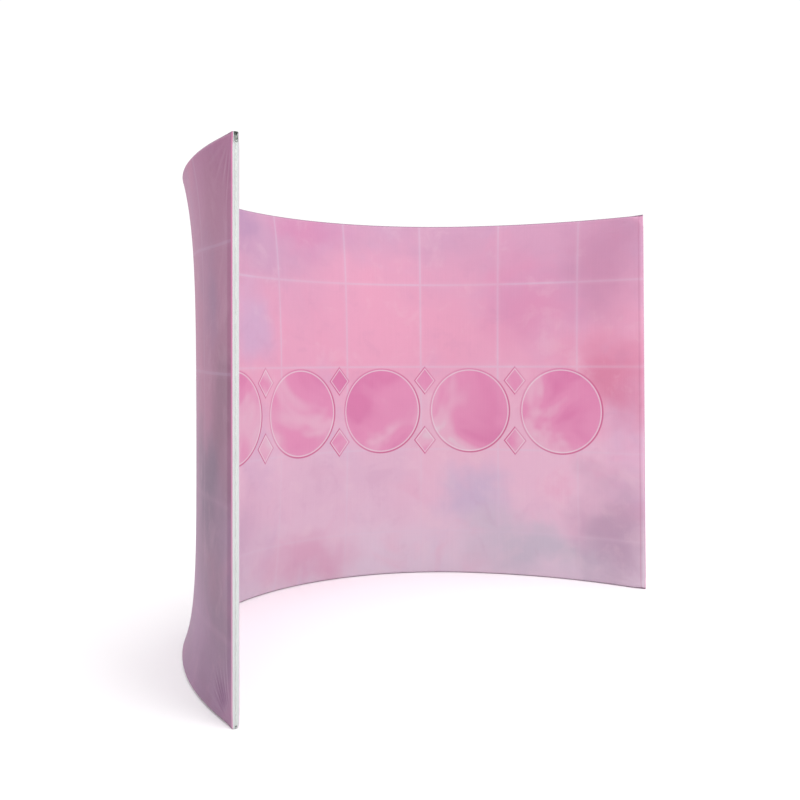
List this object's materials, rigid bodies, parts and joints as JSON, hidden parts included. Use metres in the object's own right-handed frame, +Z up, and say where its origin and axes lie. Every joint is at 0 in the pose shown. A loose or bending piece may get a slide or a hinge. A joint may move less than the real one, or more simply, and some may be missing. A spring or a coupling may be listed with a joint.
{
  "type": "curved fabric display wall",
  "caption": "Free-standing horseshoe-shaped display wall: curved tube frame inside a stretched printed fabric cover with a full-height end zip.",
  "frame": {"origin": "middle of the footprint's bounding box, on the floor under the bottom seam", "axes": "+Z up, +X to the right-hand end seen from the open side, -Y out of the open side of the curve"},
  "size_m": [3.0134, 1.6168, 2.3],
  "materials": {
    "frame_tube": "satin anodised",
    "corner_tube": "satin anodised",
    "sleeve": "mill finish",
    "moulded_plug": "fine texture",
    "fastener": "zinc plated",
    "spring_steel": "blued, oiled",
    "snap_button": "nickel plated",
    "front_fabric": "printed stretch polyester, soft watercolour pink with a fine grid",
    "back_fabric": "printed stretch polyester",
    "seam_binding": "ribbed binding tape",
    "zip_tape": "woven polyester tape",
    "zip_coil": "nylon coil",
    "zip_metal": "dark gunmetal"
  },
  "bodies": {
    "wall": {"left_outer_top_rail": "frame_tube", "left_inner_top_rail": "frame_tube", "right_inner_top_rail": "frame_tube", "right_outer_top_rail": "frame_tube", "left_outer_bottom_rail": "frame_tube", "left_inner_bottom_rail": "frame_tube", "right_inner_bottom_rail": "frame_tube", "right_outer_bottom_rail": "frame_tube", "left_top_corner_bend": "corner_tube", "left_bottom_corner_bend": "corner_tube", "right_top_corner_bend": "corner_tube", "right_bottom_corner_bend": "corner_tube", "left_post_upper_tube": "frame_tube", "left_post_lower_tube": "frame_tube", "right_post_upper_tube": "frame_tube", "right_post_lower_tube": "frame_tube", "left_upright_upper_tube": "frame_tube", "left_upright_lower_tube": "frame_tube", "right_upright_upper_tube": "frame_tube", "right_upright_lower_tube": "frame_tube", "rail_sleeves": "sleeve", "corner_sleeves": "sleeve", "post_sleeves": "sleeve", "upright_saddle_plugs": "moulded_plug", "saddle_screws": "fastener", "saddle_nuts": "fastener", "snap_button_springs": "spring_steel", "front_fabric_panel": "front_fabric", "back_fabric_panel": "back_fabric", "top_seam_tape": "seam_binding", "bottom_seam_tape": "seam_binding", "right_seam_tape": "seam_binding", "front_zip_tape": "zip_tape", "back_zip_tape": "zip_tape", "front_zip_coil": "zip_coil", "back_zip_coil": "zip_coil", "zip_end_stops": "zip_metal"},
    "slider": {"zip_slider": "zip_metal"},
    "pull_tab": {"zip_pull_tab": "zip_metal"},
    "snap_button_top_centre": {"snap_button_top_centre": "snap_button"},
    "snap_button_top_left": {"snap_button_top_left": "snap_button"},
    "snap_button_top_right": {"snap_button_top_right": "snap_button"},
    "snap_button_bottom_centre": {"snap_button_bottom_centre": "snap_button"},
    "snap_button_bottom_left": {"snap_button_bottom_left": "snap_button"},
    "snap_button_bottom_right": {"snap_button_bottom_right": "snap_button"},
    "snap_button_left_top_corner_rail": {"snap_button_left_top_corner_rail": "snap_button"},
    "snap_button_left_top_corner_post": {"snap_button_left_top_corner_post": "snap_button"},
    "snap_button_left_bottom_corner_rail": {"snap_button_left_bottom_corner_rail": "snap_button"},
    "snap_button_left_bottom_corner_post": {"snap_button_left_bottom_corner_post": "snap_button"},
    "snap_button_right_top_corner_rail": {"snap_button_right_top_corner_rail": "snap_button"},
    "snap_button_right_top_corner_post": {"snap_button_right_top_corner_post": "snap_button"},
    "snap_button_right_bottom_corner_rail": {"snap_button_right_bottom_corner_rail": "snap_button"},
    "snap_button_right_bottom_corner_post": {"snap_button_right_bottom_corner_post": "snap_button"},
    "snap_button_left_post_middle": {"snap_button_left_post_middle": "snap_button"},
    "snap_button_right_post_middle": {"snap_button_right_post_middle": "snap_button"},
    "snap_button_left_upright": {"snap_button_left_upright": "snap_button"},
    "snap_button_right_upright": {"snap_button_right_upright": "snap_button"}
  },
  "joints": [
    {"name": "zip_slide", "type": "slide", "parent": "wall", "child": "slider", "axis": [0, 0, -1], "range_m": [0, 2.264]},
    {"name": "pull_tab_swing", "type": "hinge", "parent": "slider", "child": "pull_tab", "pos_m": [-1.49288, -0.80643, 2.2895], "axis": [-0.9842, 0.1768, 0], "range_deg": [0, 170]},
    {"name": "press_top_centre", "type": "slide", "parent": "wall", "child": "snap_button_top_centre", "axis": [0, 0, 1], "range_m": [0, 0.0042], "stiffness_N_per_m": 1200},
    {"name": "press_top_left", "type": "slide", "parent": "wall", "child": "snap_button_top_left", "axis": [0, 0, 1], "range_m": [0, 0.0042], "stiffness_N_per_m": 1200},
    {"name": "press_top_right", "type": "slide", "parent": "wall", "child": "snap_button_top_right", "axis": [0, 0, 1], "range_m": [0, 0.0042], "stiffness_N_per_m": 1200},
    {"name": "press_bottom_centre", "type": "slide", "parent": "wall", "child": "snap_button_bottom_centre", "axis": [0, 0, -1], "range_m": [0, 0.0042], "stiffness_N_per_m": 1200},
    {"name": "press_bottom_left", "type": "slide", "parent": "wall", "child": "snap_button_bottom_left", "axis": [0, 0, -1], "range_m": [0, 0.0042], "stiffness_N_per_m": 1200},
    {"name": "press_bottom_right", "type": "slide", "parent": "wall", "child": "snap_button_bottom_right", "axis": [0, 0, -1], "range_m": [0, 0.0042], "stiffness_N_per_m": 1200},
    {"name": "press_left_top_corner_rail", "type": "slide", "parent": "wall", "child": "snap_button_left_top_corner_rail", "axis": [0, 0, 1], "range_m": [0, 0.0042], "stiffness_N_per_m": 1200},
    {"name": "press_left_top_corner_post", "type": "slide", "parent": "wall", "child": "snap_button_left_top_corner_post", "axis": [-0.1768, -0.9842, 0], "range_m": [0, 0.0042], "stiffness_N_per_m": 1200},
    {"name": "press_left_bottom_corner_rail", "type": "slide", "parent": "wall", "child": "snap_button_left_bottom_corner_rail", "axis": [0, 0, -1], "range_m": [0, 0.0042], "stiffness_N_per_m": 1200},
    {"name": "press_left_bottom_corner_post", "type": "slide", "parent": "wall", "child": "snap_button_left_bottom_corner_post", "axis": [-0.1768, -0.9842, 0], "range_m": [0, 0.0042], "stiffness_N_per_m": 1200},
    {"name": "press_right_top_corner_rail", "type": "slide", "parent": "wall", "child": "snap_button_right_top_corner_rail", "axis": [0, 0, 1], "range_m": [0, 0.0042], "stiffness_N_per_m": 1200},
    {"name": "press_right_top_corner_post", "type": "slide", "parent": "wall", "child": "snap_button_right_top_corner_post", "axis": [0.1768, -0.9842, 0], "range_m": [0, 0.0042], "stiffness_N_per_m": 1200},
    {"name": "press_right_bottom_corner_rail", "type": "slide", "parent": "wall", "child": "snap_button_right_bottom_corner_rail", "axis": [0, 0, -1], "range_m": [0, 0.0042], "stiffness_N_per_m": 1200},
    {"name": "press_right_bottom_corner_post", "type": "slide", "parent": "wall", "child": "snap_button_right_bottom_corner_post", "axis": [0.1768, -0.9842, 0], "range_m": [0, 0.0042], "stiffness_N_per_m": 1200},
    {"name": "press_left_post_middle", "type": "slide", "parent": "wall", "child": "snap_button_left_post_middle", "axis": [-0.1768, -0.9842, 0], "range_m": [0, 0.0042], "stiffness_N_per_m": 1200},
    {"name": "press_right_post_middle", "type": "slide", "parent": "wall", "child": "snap_button_right_post_middle", "axis": [0.1768, -0.9842, 0], "range_m": [0, 0.0042], "stiffness_N_per_m": 1200},
    {"name": "press_left_upright", "type": "slide", "parent": "wall", "child": "snap_button_left_upright", "axis": [-0.7865, -0.6176, 0], "range_m": [0, 0.0042], "stiffness_N_per_m": 1200},
    {"name": "press_right_upright", "type": "slide", "parent": "wall", "child": "snap_button_right_upright", "axis": [0.7865, -0.6176, 0], "range_m": [0, 0.0042], "stiffness_N_per_m": 1200}
  ]
}
